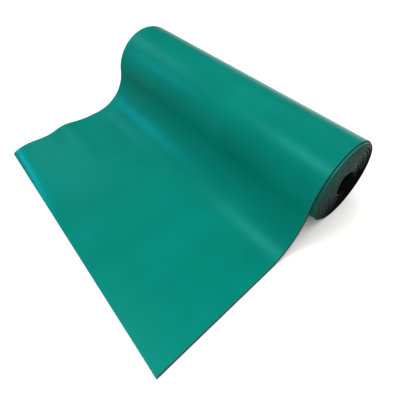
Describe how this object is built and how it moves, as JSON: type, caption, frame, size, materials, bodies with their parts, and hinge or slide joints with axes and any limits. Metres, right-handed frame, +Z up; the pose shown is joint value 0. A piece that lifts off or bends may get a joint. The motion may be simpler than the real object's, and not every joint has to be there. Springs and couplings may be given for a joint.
{
  "type": "anti static bench mat",
  "caption": "Roll of anti-static rubber bench matting, green on top and black underneath, lying on its side with its free end laid out flat.",
  "frame": {"origin": "centre of the bounding box at floor level", "axes": "+X along the roll's axis, across the mat's width; +Y towards the back of the roll, so the free end points to -Y; +Z up"},
  "size_m": [0.6, 0.4824, 0.1608],
  "materials": {
    "black_rubber": "matte black conductive rubber",
    "green_rubber": "smooth satin teal green dissipative rubber"
  },
  "bodies": {
    "root": {"black_base_layer": "black_rubber", "green_top_layer": "green_rubber"}
  },
  "joints": []
}
